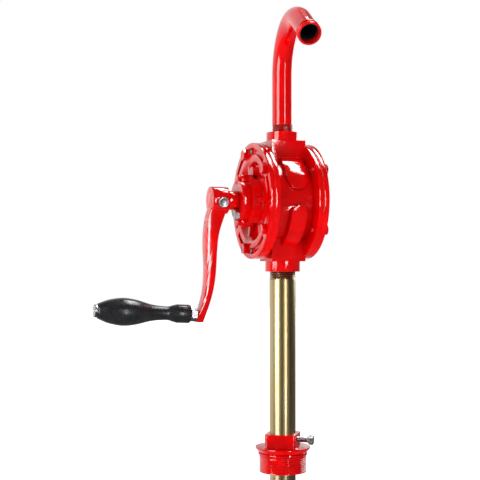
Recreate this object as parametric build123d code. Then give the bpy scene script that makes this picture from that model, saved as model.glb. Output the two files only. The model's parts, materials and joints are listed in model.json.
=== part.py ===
"""Hand-cranked rotary vane pump for a steel drum.

Frame: millimetres, +Z up. The origin is where the axis of the suction tube meets the underside
of the adapter's flange, which rests on the drum top. The shaft runs along X, with the crank at
-X, and the spout reaches towards -Y.
"""
from build123d import *
from math import cos, radians, sin
import os

# ---------------------------------------------------------------- driving dimensions
SHAFT_Z = 328.0              # height of the shaft above the drum top
SHAFT_RADIUS = 10.0
RUNNING_GAP = 0.05           # radial clearance of a shaft in its bush
HOLE_GAP = 0.1               # radial clearance of a bolt in its hole
OVERRUN = 12.0               # how far a cut runs past the surface that it opens
MERGE = 1.0                  # how far one cast shape reaches into the next
PIPE_END_GAP = 0.5           # between a pipe's end and the floor of its port

# pump housing
BARREL_RADIUS = 54.0
FLANGE_RADIUS = 75.0
FLANGE_THICKNESS = 6.0
GASKET_THICKNESS = 0.8
HOUSING_FRONT = -36.6        # front face of the housing's front flange
HOUSING_REAR = 27.0          # rear face of the housing's rear flange
CHAMBER_FRONT = -30.6
CHAMBER_REAR = 22.0
CHAMBER_RADIUS = 45.3
CHAMBER_OFFSET = 4.0         # the chamber's axis lies this far towards -Y of the shaft
SPIGOT_RADIUS = 49.95
COUNTERBORE_RADIUS = 50.0
PORT_BLOCK = 46.0            # square section of the port blocks
PORT_BLOCK_REACH = 78.0      # from the shaft to the end of a port block
TOP_BOSS_RADIUS = 21.0
TOP_BOSS_HEIGHT = 11.6
LOWER_BOSS_RADIUS = 22.5
LOWER_BOSS_HEIGHT = 13.3
THREAD_ENGAGEMENT = 17.0     # how far a pipe screws into its port
PORT_BORE_START = 40.0       # the port bores open into the chamber this far from the shaft
PASSAGE_INSET = 20.0         # the raised passages end this far inside the port blocks
TOP_PASSAGE_WIDTH = 28.0
TOP_PASSAGE_RADIUS = 60.0
TOP_PASSAGE_TIP = 13.0       # tip of the raised passage above the shaft
LOWER_PASSAGE_WIDTH = 21.0
LOWER_PASSAGE_RADIUS = 63.0
LOWER_PASSAGE_TIP = -8.0
PASSAGE_WALL = 4.0

# covers and their bolts
FRONT_RIM = -43.4            # front face of the front cover
REAR_RIM = 34.7              # rear face of the rear cover
COVER_FLOOR = -36.2          # bottom of the front cover's recess
RECESS_MOUTH_RADIUS = 53.0
RECESS_FLOOR_RADIUS = 46.0
BEARING_BOSS_RADIUS = 30.0
BEARING_BOSS_FRONT = -51.0
GROOVE_INNER_RADIUS = 61.0
GROOVE_OUTER_RADIUS = 68.4
GROOVE_DEPTH = 3.2
GROOVE_SPANS = ((-2, 26), (46, 100), (117, 170), (190, 211), (219, 243), (260, 314))
COVER_BOLT_RADIUS = 64.5
COVER_BOLT_ANGLES = (36, 108, 180, 252, 324)
BOLT_PROJECTION = 3.0        # how far a cover bolt stands out behind its flange
RIB_WIDTH = 6.0
RIB_FRONT = -42.0
RIB_ANGLES = (0, 108, 180, 252)
DOWEL_RADIUS = 3.5
DOWEL_ANGLES = (96, -96)
DOWEL_FRONT = -42.0
LUG_RADIUS = 6.5             # plugged casting boss above the bearing boss
LUG_PLACE = (-3.0, 38.0)
REAR_BOSS_RADIUS = 22.0
REAR_BOSS_END = 42.0

# fasteners: shank radius, distance across the flats, height of the head or nut
M10 = (5.0, 16.0, 8.0)
M8 = (4.0, 13.0, 5.3)
M6 = (3.0, 10.0, 4.0)

# bearings, packing and gland
BUSH_OUTER_RADIUS = 14.0
BUSH_LENGTH = 8.6
PACKING_OUTER_RADIUS = 16.0
PACKING_RING_THICKNESS = 3.0
PACKING_RING_COUNT = 3
REAR_POCKET_DEPTH = 4.0      # room behind the rear bush
SHAFT_TAIL = 3.0             # how far the shaft stands out of the rear bush
GLAND_RADIUS = 26.0
GLAND_FRONT = -63.0
EAR_OFFSET = 27.0            # gland ears above and below the shaft
EAR_RADIUS = 7.0
EAR_FRONT = -59.0
EAR_REAR = -42.0
GLAND_BORE_GAP = 0.3
GLAND_BOLT_LENGTH = 17.0
GLAND_BOLT_HOLE_DEPTH = 11.0
GLAND_HEAD_ROOM_RADIUS = 6.2
GLAND_SCREW_LENGTH = 8.0
GLAND_SCREW_PLACE = (19.6, -71)   # distance from the shaft, and angle below -Y

# rotor
ROTOR_RADIUS = 41.0
ROTOR_END_GAP = 0.1
VANE_COUNT = 4
VANE_THICKNESS = 5.0
VANE_HEIGHT = 16.0
VANE_SIDE_GAP = 0.1
VANE_TIP_GAP = 0.1           # the stored vane's tip lies this far below the rotor's surface
SLOT_FLOOR_RADIUS = 17.0
SPRING_SPAN = 44.0
SPRING_RISE = 6.6
SPRING_WIDTH = 4.0
SPRING_THICKNESS = 0.6
KEY_SIZE = 6.0
KEY_LENGTH = 36.0
KEY_DEPTH_IN_SHAFT = 3.5

# crank
SLEEVE_RADIUS = 12.25
SLEEVE_REAR = -63.4
HUB_RADIUS = 17.3
HUB_REAR = -77.0
HUB_FRONT = -99.0
SET_BOLT_X = -87.5
SET_BOLT_ANGLE = -10.0       # degrees below -Y
SET_BOLT_SEAT = 18.3         # from the shaft's axis to the underside of the head
CRANK_RADIUS = 145.0
ARM_WIDTH_AT_HUB = 20.0
ARM_WIDTH_AT_END = 15.0
ARM_END_BELOW_SPINDLE = 10.0
ARM_END_FRONT = -117.0       # machined seat for the spindle's nut
ARM_END_THICKNESS = 8.0
HANDLE_TILT = 2.7            # degrees that the handle rises towards its free end
# side view of the arm, as (x, z): the front edge down from the hub, then the rear edge back up
ARM_FRONT_EDGE = ((-98.5, 320), (-103.2, 306), (-105.7, 290), (-106.5, 270), (-105.6, 249),
                  (-105.9, 227), (-108.4, 208), (-113.4, 190), (-119.6, 173))
ARM_REAR_EDGE = ((-110.2, 173), (-103.8, 190), (-98.2, 208), (-94.5, 227), (-92.8, 249),
                 (-91.6, 270), (-88.4, 290), (-83.0, 306), (-78.5, 320))

# handle, measured along its own axis from the seat on the arm's end
SPINDLE_HEAD_RADIUS = 8.0
SPINDLE_HEAD_HEIGHT = 3.2
SPINDLE_SLOT_WIDTH = 2.0
SPINDLE_SLOT_DEPTH = 1.2
GRIP_START = 8.4
GRIP_END = 127.0
GRIP_END_PLAY = 0.4
GRIP_BORE_RADIUS = 5.25
GRIP_COLLAR_RADIUS = 11.7
GRIP_COLLAR_CHAMFER = 1.5
GRIP_END_RADIUS = 9.0
# the grip's outline, as (radius, distance from the grip's start)
GRIP_PROFILE = ((11.7, 18), (8.4, 31), (10.4, 50), (15.8, 70), (17.4, 87), (14.6, 104), (10.2, 116.1))

# spout
SPOUT_RADIUS = 13.45         # 3/4 inch pipe
SPOUT_WALL = 1.8
SPOUT_BEND_START = 491.5
SPOUT_BEND_RADIUS = 62.0
SPOUT_BEND_ANGLE = 122.0
SPOUT_TIP_LENGTH = 47.0
SPOUT_YAW = -7.0             # the spout points this far from -Y, turned towards -X
COLLAR_RADIUS = 14.75
COLLAR_LENGTH = 10.0

# suction tube
TUBE_RADIUS = 16.85          # 1 inch pipe
TUBE_WALL = 3.2
TUBE_SECTION = 335.0
TUBE_JOINT_GAP = 2.0
COUPLING_RADIUS = 21.0
COUPLING_LENGTH = 40.0
STRAINER_RADIUS = 20.0
STRAINER_LENGTH = 34.0
STRAINER_OVERLAP = 14.0
STRAINER_SLOT_COUNT = 6
STRAINER_SLOT_WIDTH = 6.0

# adapter for the 2 inch bung
ADAPTER_TURN = -32.5         # degrees about the tube that the square neck is turned
NECK_SIDE = 40.0
NECK_CORNER = 3.0
NECK_TOP = 27.0
BUNG_FLANGE_RADIUS = 35.5
BUNG_SEAT_RADIUS = 31.8
BUNG_SEAT_RING_HEIGHT = 2.4
BUNG_BEVEL_RADIUS = 30.2     # foot of the bevel, above the seat ring
BUNG_BEVEL_TOP = 8.2
BUNG_FLANGE_TOP = 10.0
BUNG_THREAD_RADIUS = 29.8
BUNG_THREAD_LENGTH = 22.0
BUNG_THREAD_BORE_RADIUS = 24.0
BUNG_THREAD_BORE_TOP = -2.0
TUBE_SLIDE_GAP = 0.3
CLAMP_SCREW_Z = 19.5
CLAMP_SCREW_LENGTH = 17.0    # shank between the tube and the head
CLAMP_SCREW = (4.0, 11.0, 6.5)

BASE = (Align.CENTER, Align.CENTER, Align.MIN)
BELOW = (Align.CENTER, Align.CENTER, Align.MAX)
OUTWARD = (Align.MIN, Align.CENTER, Align.CENTER)


# ---------------------------------------------------------------- helpers
def front_plane(x):
    """Plane facing -X, centred on the shaft. Its own x runs towards -Y and its own y runs up."""
    return Plane(origin=(x, 0, SHAFT_Z), x_dir=(0, -1, 0), z_dir=(-1, 0, 0))


def rear_plane(x):
    """Plane facing +X, centred on the shaft. Its own x runs towards +Y and its own y runs up."""
    return Plane(origin=(x, 0, SHAFT_Z), x_dir=(0, 1, 0), z_dir=(1, 0, 0))


def polar(radius, angle):
    return Pos(radius * cos(radians(angle)), radius * sin(radians(angle)), 0)


def disc(radius, x_a, x_b):
    """Disc about the shaft's axis between two X positions."""
    return front_plane(max(x_a, x_b)) * Cylinder(radius, abs(x_b - x_a), align=BASE)


def post(radius, z_low, z_high):
    """Upright cylinder on the tube's axis."""
    return Pos(0, 0, z_low) * Cylinder(radius, z_high - z_low, align=BASE)


def block(x_half, y_low, y_high, z_low, z_high):
    centre = Pos(0, (y_low + y_high) / 2, (z_low + z_high) / 2)
    return centre * Box(2 * x_half, y_high - y_low, z_high - z_low)


def hexagon(across_flats, height):
    return extrude(RegularPolygon(across_flats / 2, 6, major_radius=False), height)


def bolt(seat, size, shank_length):
    """Hex bolt whose head stands on the seat plane, with its shank behind the plane."""
    shank_radius, across_flats, head_height = size
    shank = Cylinder(shank_radius, shank_length, align=BELOW)
    return seat * (hexagon(across_flats, head_height) + shank)


def arc_slot(inner, outer, start, end, depth):
    """Sector of a ring, cut inwards from its plane."""
    outer_arc = CenterArc((0, 0), outer, start, end - start)
    inner_arc = CenterArc((0, 0), inner, start, end - start)
    sides = [Line(outer_arc @ 0, inner_arc @ 0), Line(outer_arc @ 1, inner_arc @ 1)]
    face = make_face([outer_arc, inner_arc] + sides)
    return extrude(face, -depth)


def save(nodes):
    os.makedirs("parts", exist_ok=True)
    for name, shape in nodes.items():
        export_step(shape, f"parts/{name}.step")


# ---------------------------------------------------------------- housing and covers
def raised_passage(radius, width, tip, z_end):
    """Strip that stands out of the barrel on its -Y side, with a round tip near the shaft."""
    half = width / 2
    inward = 1 if z_end > SHAFT_Z else -1
    tip_centre = SHAFT_Z + tip + inward * half
    low, high = sorted((tip_centre, z_end))
    strip = block(half, -radius - MERGE, 0, low, high)
    tip_plane = Plane(origin=(0, 0, tip_centre), x_dir=(1, 0, 0), z_dir=(0, -1, 0))
    rounded = strip + tip_plane * Cylinder(half, radius + MERGE, align=BASE)
    return rounded & disc(radius, -half, half)


def make_housing():
    top = SHAFT_Z + PORT_BLOCK_REACH
    bottom = SHAFT_Z - PORT_BLOCK_REACH
    half = PORT_BLOCK / 2
    body = disc(BARREL_RADIUS, HOUSING_FRONT, HOUSING_REAR)
    body += disc(FLANGE_RADIUS, HOUSING_FRONT, HOUSING_FRONT + FLANGE_THICKNESS)
    body += disc(FLANGE_RADIUS, HOUSING_REAR - FLANGE_THICKNESS, HOUSING_REAR)
    body += block(half, -half, half, bottom, top)
    body += post(TOP_BOSS_RADIUS, top - MERGE, top + TOP_BOSS_HEIGHT)
    body += post(LOWER_BOSS_RADIUS, bottom - LOWER_BOSS_HEIGHT, bottom + MERGE)
    body += raised_passage(TOP_PASSAGE_RADIUS, TOP_PASSAGE_WIDTH, TOP_PASSAGE_TIP,
                           top - PASSAGE_INSET)
    body += raised_passage(LOWER_PASSAGE_RADIUS, LOWER_PASSAGE_WIDTH, LOWER_PASSAGE_TIP,
                           bottom + PASSAGE_INSET)

    chamber = front_plane(HOUSING_REAR) * Pos(CHAMBER_OFFSET, 0, 0)
    body -= chamber * Cylinder(CHAMBER_RADIUS, HOUSING_REAR - HOUSING_FRONT, align=BASE)
    body -= disc(COUNTERBORE_RADIUS, HOUSING_FRONT, CHAMBER_FRONT)
    body -= disc(COUNTERBORE_RADIUS, CHAMBER_REAR, HOUSING_REAR)

    # ports: a pipe thread at the mouth, then a passage into the chamber
    boss_top = top + TOP_BOSS_HEIGHT
    boss_bottom = bottom - LOWER_BOSS_HEIGHT
    body -= post(SPOUT_RADIUS + RUNNING_GAP, boss_top - THREAD_ENGAGEMENT, boss_top)
    body -= post(SPOUT_RADIUS - SPOUT_WALL, SHAFT_Z + PORT_BORE_START, boss_top)
    body -= post(TUBE_RADIUS, boss_bottom, boss_bottom + THREAD_ENGAGEMENT)
    body -= post(TUBE_RADIUS - TUBE_WALL, boss_bottom, SHAFT_Z - PORT_BORE_START)

    # hollows of the raised passages, open to the chamber
    body -= raised_passage(TOP_PASSAGE_RADIUS - PASSAGE_WALL, TOP_PASSAGE_WIDTH - 2 * PASSAGE_WALL,
                           TOP_PASSAGE_TIP + PASSAGE_WALL, SHAFT_Z + PORT_BORE_START)
    body -= raised_passage(LOWER_PASSAGE_RADIUS - PASSAGE_WALL,
                           LOWER_PASSAGE_WIDTH - 2 * PASSAGE_WALL,
                           LOWER_PASSAGE_TIP - PASSAGE_WALL, SHAFT_Z - PORT_BORE_START)

    # tapped holes for the cover bolts
    for angle in COVER_BOLT_ANGLES:
        hole = Cylinder(M8[0] + HOLE_GAP, FLANGE_THICKNESS + BOLT_PROJECTION + MERGE, align=BELOW)
        body -= front_plane(HOUSING_FRONT) * polar(COVER_BOLT_RADIUS, angle) * hole
        body -= rear_plane(HOUSING_REAR) * polar(COVER_BOLT_RADIUS, 180 - angle) * hole
    return body


def make_front_cover():
    rim_rear = HOUSING_FRONT - GASKET_THICKNESS
    body = disc(FLANGE_RADIUS, FRONT_RIM, rim_rear)
    body += disc(SPIGOT_RADIUS, rim_rear, CHAMBER_FRONT)

    depth = COVER_FLOOR - FRONT_RIM
    recess = Cone(RECESS_FLOOR_RADIUS, RECESS_MOUTH_RADIUS, depth, align=BASE)
    body -= front_plane(COVER_FLOOR) * recess
    for start, end in GROOVE_SPANS:
        slot = arc_slot(GROOVE_INNER_RADIUS, GROOVE_OUTER_RADIUS, start, end, GROOVE_DEPTH)
        body -= front_plane(FRONT_RIM) * slot

    # radial ribs across the recess, and the bearing boss in the middle
    rib_length = RECESS_FLOOR_RADIUS + 2 * MERGE
    rib_height = COVER_FLOOR - RIB_FRONT
    for angle in RIB_ANGLES:
        rib = Pos(rib_length / 2, 0, 0) * Box(rib_length, RIB_WIDTH, rib_height, align=BASE)
        body += front_plane(COVER_FLOOR) * Rot(0, 0, angle) * rib
    casting_boss = Cylinder(LUG_RADIUS, rib_height, align=BASE)
    body += front_plane(COVER_FLOOR) * Pos(*LUG_PLACE, 0) * casting_boss
    body += disc(BEARING_BOSS_RADIUS, BEARING_BOSS_FRONT, COVER_FLOOR)
    for side in (90, -90):
        lug = Cylinder(EAR_RADIUS, EAR_REAR - BEARING_BOSS_FRONT, align=BASE)
        body += front_plane(EAR_REAR) * polar(EAR_OFFSET, side) * lug

    for angle in DOWEL_ANGLES:
        hole = Cylinder(DOWEL_RADIUS, rim_rear - FRONT_RIM, align=BELOW)
        body -= front_plane(FRONT_RIM) * polar(COVER_BOLT_RADIUS, angle) * hole

    # bush seat from behind, packing chamber from the front
    body -= disc(BUSH_OUTER_RADIUS, CHAMBER_FRONT, CHAMBER_FRONT - BUSH_LENGTH)
    body -= disc(PACKING_OUTER_RADIUS, CHAMBER_FRONT - BUSH_LENGTH, BEARING_BOSS_FRONT)
    for angle in COVER_BOLT_ANGLES:
        hole = Cylinder(M8[0] + HOLE_GAP, rim_rear - FRONT_RIM, align=BELOW)
        body -= front_plane(FRONT_RIM) * polar(COVER_BOLT_RADIUS, angle) * hole
    for side in (90, -90):
        hole = Cylinder(M6[0] + HOLE_GAP, GLAND_BOLT_HOLE_DEPTH, align=BELOW)
        body -= front_plane(BEARING_BOSS_FRONT) * polar(EAR_OFFSET, side) * hole
    return body


def make_rear_cover():
    rim_front = HOUSING_REAR + GASKET_THICKNESS
    body = disc(FLANGE_RADIUS, rim_front, REAR_RIM)
    body += disc(SPIGOT_RADIUS, CHAMBER_REAR, rim_front)
    body += disc(REAR_BOSS_RADIUS, REAR_RIM, REAR_BOSS_END)
    pocket_end = CHAMBER_REAR + BUSH_LENGTH + REAR_POCKET_DEPTH
    body -= disc(BUSH_OUTER_RADIUS, CHAMBER_REAR, pocket_end)
    for angle in COVER_BOLT_ANGLES:
        hole = Cylinder(M8[0] + HOLE_GAP, REAR_RIM - rim_front, align=BELOW)
        body -= rear_plane(REAR_RIM) * polar(COVER_BOLT_RADIUS, 180 - angle) * hole
    return body


def make_gasket(x_a, x_b):
    ring = disc(FLANGE_RADIUS, x_a, x_b) - disc(COUNTERBORE_RADIUS, x_a, x_b)
    for angle in COVER_BOLT_ANGLES:
        hole = Cylinder(M8[0] + HOLE_GAP, GASKET_THICKNESS, align=BASE)
        ring -= front_plane(max(x_a, x_b)) * polar(COVER_BOLT_RADIUS, angle) * hole
    return ring


def cover_bolts(plane, shank_length, mirrored):
    bolts = []
    for angle in COVER_BOLT_ANGLES:
        place = 180 - angle if mirrored else angle
        bolts.append(bolt(plane * polar(COVER_BOLT_RADIUS, place), M8, shank_length))
    return Compound(bolts)


def cover_dowels():
    rim_rear = HOUSING_FRONT - GASKET_THICKNESS
    pin = Cylinder(DOWEL_RADIUS, rim_rear - DOWEL_FRONT, align=BASE)
    plane = front_plane(rim_rear)
    return Compound([plane * polar(COVER_BOLT_RADIUS, angle) * pin for angle in DOWEL_ANGLES])


def housing_nodes():
    front_shank = HOUSING_FRONT - FRONT_RIM + FLANGE_THICKNESS + BOLT_PROJECTION
    rear_shank = REAR_RIM - HOUSING_REAR + FLANGE_THICKNESS + BOLT_PROJECTION
    return {
        "housing": make_housing(),
        "front_cover": make_front_cover(),
        "rear_cover": make_rear_cover(),
        "front_gasket": make_gasket(HOUSING_FRONT - GASKET_THICKNESS, HOUSING_FRONT),
        "rear_gasket": make_gasket(HOUSING_REAR, HOUSING_REAR + GASKET_THICKNESS),
        "front_cover_bolts": cover_bolts(front_plane(FRONT_RIM), front_shank, False),
        "front_cover_dowels": cover_dowels(),
        "rear_cover_bolts": cover_bolts(rear_plane(REAR_RIM), rear_shank, True),
    }


# ---------------------------------------------------------------- bearings, packing and gland
def shaft_ring(outer, x_a, x_b):
    """Ring that runs on the shaft, such as a bush or a packing ring."""
    return disc(outer, x_a, x_b) - disc(SHAFT_RADIUS + RUNNING_GAP, x_a, x_b)


def bearing_nodes():
    bush_front = CHAMBER_FRONT - BUSH_LENGTH
    nodes = {
        "front_bush": shaft_ring(BUSH_OUTER_RADIUS, bush_front, CHAMBER_FRONT),
        "rear_bush": shaft_ring(BUSH_OUTER_RADIUS, CHAMBER_REAR, CHAMBER_REAR + BUSH_LENGTH),
    }
    for index in range(PACKING_RING_COUNT):
        rear = bush_front - index * PACKING_RING_THICKNESS
        ring = shaft_ring(PACKING_OUTER_RADIUS, rear, rear - PACKING_RING_THICKNESS)
        nodes[f"packing_ring_{index + 1}"] = ring

    # gland: a disc with two ears, and a nose that presses on the packing
    packing_front = bush_front - PACKING_RING_COUNT * PACKING_RING_THICKNESS
    gland = disc(GLAND_RADIUS, GLAND_FRONT, BEARING_BOSS_FRONT)
    gland += disc(PACKING_OUTER_RADIUS - HOLE_GAP, packing_front, BEARING_BOSS_FRONT)
    for side in (90, -90):
        ear = Cylinder(EAR_RADIUS, BEARING_BOSS_FRONT - EAR_FRONT, align=BASE)
        gland += front_plane(BEARING_BOSS_FRONT) * polar(EAR_OFFSET, side) * ear
    gland -= disc(SHAFT_RADIUS + GLAND_BORE_GAP, packing_front, GLAND_FRONT)
    bolts = []
    for side in (90, -90):
        seat = front_plane(EAR_FRONT) * polar(EAR_OFFSET, side)
        hole = Cylinder(M6[0] + HOLE_GAP, GLAND_BOLT_LENGTH, align=BELOW)
        head_room = Cylinder(GLAND_HEAD_ROOM_RADIUS, OVERRUN, align=BASE)
        gland -= seat * (hole + head_room)
        bolts.append(bolt(seat, M6, GLAND_BOLT_LENGTH))
    screw_seat = front_plane(GLAND_FRONT) * polar(*GLAND_SCREW_PLACE)
    gland -= screw_seat * Cylinder(M8[0] + HOLE_GAP, GLAND_SCREW_LENGTH + PIPE_END_GAP, align=BELOW)
    nodes["gland_cap"] = gland
    nodes["gland_bolts"] = Compound(bolts)
    nodes["gland_screw"] = bolt(screw_seat, M8, GLAND_SCREW_LENGTH)
    return nodes


# ---------------------------------------------------------------- rotor and shaft
def leaf_spring():
    """Bowed strip in its own X-Y plane: its ends are at y = 0 and its middle is highest."""
    half = SPRING_SPAN / 2
    outer = ThreePointArc((-half, 0), (0, SPRING_RISE), (half, 0))
    inner = ThreePointArc((-half, -SPRING_THICKNESS), (0, SPRING_RISE - SPRING_THICKNESS),
                          (half, -SPRING_THICKNESS))
    ends = [Line(outer @ 0, inner @ 0), Line(outer @ 1, inner @ 1)]
    return extrude(make_face([outer, inner] + ends), SPRING_WIDTH / 2, both=True)


def rotor_nodes():
    front = CHAMBER_FRONT + ROTOR_END_GAP
    rear = CHAMBER_REAR - ROTOR_END_GAP
    length = rear - front
    middle = (front + rear) / 2
    nodes = {}
    rotor = disc(ROTOR_RADIUS, front, rear) - disc(SHAFT_RADIUS, front, rear)
    slot_height = ROTOR_RADIUS + MERGE - SLOT_FLOOR_RADIUS
    slot_width = VANE_THICKNESS + 2 * VANE_SIDE_GAP
    slot = Pos(SLOT_FLOOR_RADIUS, 0, 0) * Box(slot_height, slot_width, length, align=OUTWARD)
    vane_foot = ROTOR_RADIUS - VANE_TIP_GAP - VANE_HEIGHT
    vane = Pos(vane_foot, 0, 0) * Box(VANE_HEIGHT, VANE_THICKNESS, length, align=OUTWARD)
    # the strip's length lies along the shaft, and it bows outwards under the vane
    spring_foot = (SLOT_FLOOR_RADIUS + SPRING_THICKNESS, 0, 0)
    floor = Plane(origin=spring_foot, x_dir=(0, 0, 1), z_dir=(0, 1, 0))
    spring = floor * leaf_spring()
    for index in range(VANE_COUNT):
        place = front_plane(middle) * Rot(0, 0, 45 + 90 * index)
        rotor -= place * slot
        nodes[f"vane_{index + 1}"] = place * vane
        nodes[f"vane_spring_{index + 1}"] = place * spring

    shaft_rear = CHAMBER_REAR + BUSH_LENGTH + SHAFT_TAIL
    shaft = disc(SHAFT_RADIUS, HUB_FRONT, shaft_rear)
    key_low = SHAFT_RADIUS - KEY_DEPTH_IN_SHAFT
    key = Pos(key_low, 0, 0) * Box(KEY_SIZE, KEY_SIZE, KEY_LENGTH, align=OUTWARD)
    key = front_plane(middle) * key
    nodes["rotor"] = rotor - key
    nodes["drive_shaft"] = shaft - key
    nodes["rotor_key"] = key
    return nodes


# ---------------------------------------------------------------- crank and handle
def handle_plane():
    """Plane on the seat at the arm's end, facing along the handle to its free end."""
    rise = radians(HANDLE_TILT)
    outward = (-cos(rise), 0, sin(rise))
    return Plane(origin=(ARM_END_FRONT, 0, SHAFT_Z - CRANK_RADIUS), x_dir=(0, -1, 0), z_dir=outward)


def make_crank_arm():
    front_edge = Spline(ARM_FRONT_EDGE)
    rear_edge = Spline(ARM_REAR_EDGE)
    side = make_face([front_edge, Line(front_edge @ 1, rear_edge @ 0), rear_edge,
                      Line(rear_edge @ 1, front_edge @ 0)])
    side_plane = Plane(origin=(0, 0, 0), x_dir=(1, 0, 0), z_dir=(0, -1, 0))
    profile = extrude(side_plane * side, HUB_RADIUS, both=True)

    # front view: a bar that narrows from the hub to its square end
    low = -CRANK_RADIUS - ARM_END_BELOW_SPINDLE
    bar = make_face(Polyline((-ARM_WIDTH_AT_HUB / 2, 0), (ARM_WIDTH_AT_HUB / 2, 0),
                             (ARM_WIDTH_AT_END / 2, low), (-ARM_WIDTH_AT_END / 2, low), close=True))
    depth = HUB_REAR - ARM_END_FRONT + OVERRUN
    arm = profile & (front_plane(HUB_REAR) * extrude(bar, depth))

    arm += disc(HUB_RADIUS, HUB_REAR, HUB_FRONT)
    arm -= disc(SHAFT_RADIUS, HUB_REAR, HUB_FRONT - OVERRUN)
    arm -= handle_plane() * Cylinder(M10[0], ARM_END_THICKNESS + OVERRUN, align=BELOW)
    seat_height = 2 * (ARM_END_BELOW_SPINDLE + MERGE)
    arm -= handle_plane() * Box(2 * ARM_WIDTH_AT_HUB, seat_height, OVERRUN, align=BASE)
    arm -= set_bolt_plane() * Cylinder(M8[0] + HOLE_GAP, HUB_RADIUS, align=BELOW)
    return arm


def set_bolt_plane():
    """Plane on the hub's side, where the head of the set bolt stands."""
    down = radians(SET_BOLT_ANGLE)
    outward = Vector(0, -cos(down), sin(down))
    origin = Vector(SET_BOLT_X, 0, SHAFT_Z) + outward * SET_BOLT_SEAT
    return Plane(origin=origin, x_dir=(1, 0, 0), z_dir=outward)


def grip_outline():
    """Half section of the grip: x is the radius and y runs along the handle."""
    body = Spline([(radius, GRIP_START + distance) for radius, distance in GRIP_PROFILE])
    chamfer_foot = (GRIP_COLLAR_RADIUS - GRIP_COLLAR_CHAMFER, GRIP_START)
    chamfer_top = (GRIP_COLLAR_RADIUS, GRIP_START + GRIP_COLLAR_CHAMFER)
    lines = [
        Line((GRIP_BORE_RADIUS, GRIP_START), chamfer_foot),
        Line(chamfer_foot, chamfer_top),
        Line(chamfer_top, body @ 0),
        body,
        Line(body @ 1, (GRIP_END_RADIUS, GRIP_END)),
        Line((GRIP_END_RADIUS, GRIP_END), (GRIP_BORE_RADIUS, GRIP_END)),
        Line((GRIP_BORE_RADIUS, GRIP_END), (GRIP_BORE_RADIUS, GRIP_START)),
    ]
    return make_face(lines)


def crank_nodes():
    along = handle_plane()
    upright = Rot(90, 0, 0) * grip_outline()
    grip = revolve(upright, Axis.Z)
    shank_end = GRIP_END + GRIP_END_PLAY
    shank_length = shank_end + ARM_END_THICKNESS
    spindle = Pos(0, 0, -ARM_END_THICKNESS) * Cylinder(M10[0], shank_length, align=BASE)
    head = Pos(0, 0, shank_end) * Cylinder(SPINDLE_HEAD_RADIUS, SPINDLE_HEAD_HEIGHT, align=BASE)
    slot = Pos(0, 0, shank_end + SPINDLE_HEAD_HEIGHT) * Box(
        2 * SPINDLE_HEAD_RADIUS, SPINDLE_SLOT_WIDTH, 2 * SPINDLE_SLOT_DEPTH)
    nut = hexagon(M10[1], M10[2]) - Cylinder(M10[0], M10[2], align=BASE)
    sleeve = disc(SLEEVE_RADIUS, SLEEVE_REAR, HUB_REAR) - disc(SHAFT_RADIUS, SLEEVE_REAR, HUB_REAR)
    return {
        "spacer_sleeve": sleeve,
        "crank_arm": make_crank_arm(),
        "crank_set_bolt": bolt(set_bolt_plane(), M8, SET_BOLT_SEAT - SHAFT_RADIUS),
        "handle_spindle": along * (spindle + head - slot),
        "spindle_nut": along * nut,
        "grip": along * grip,
    }


# ---------------------------------------------------------------- spout
def spout_path():
    """Centre line of the spout in its own upright plane: up, round the bend, then to the tip."""
    start = SHAFT_Z + PORT_BLOCK_REACH + TOP_BOSS_HEIGHT - THREAD_ENGAGEMENT + PIPE_END_GAP
    riser = Line((0, start), (0, SPOUT_BEND_START))
    bend = CenterArc((SPOUT_BEND_RADIUS, SPOUT_BEND_START), SPOUT_BEND_RADIUS, 180, -SPOUT_BEND_ANGLE)
    turn = radians(SPOUT_BEND_ANGLE)
    tip = (bend @ 1) + Vector(sin(turn), cos(turn)) * SPOUT_TIP_LENGTH
    return Wire([riser, bend, Line(bend @ 1, tip)]), tip, Vector(sin(turn), cos(turn))


def spout_nodes():
    path, tip, direction = spout_path()
    outer = sweep(Plane(path @ 0, z_dir=path % 0) * Circle(SPOUT_RADIUS), path)
    inner = sweep(Plane(path @ 0, z_dir=path % 0) * Circle(SPOUT_RADIUS - SPOUT_WALL), path)
    ring = Cylinder(COLLAR_RADIUS, COLLAR_LENGTH, align=BELOW)
    ring -= Cylinder(SPOUT_RADIUS, COLLAR_LENGTH, align=BELOW)
    collar = Plane(tip, z_dir=direction) * ring
    # the path is drawn in X-Y: stand it up, then turn it to face -Y and the spout's own yaw
    stand = Rot(0, 0, SPOUT_YAW - 90) * Rot(90, 0, 0)
    return {
        "spout_pipe": stand * (outer - inner),
        "spout_collar": stand * collar,
    }


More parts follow.
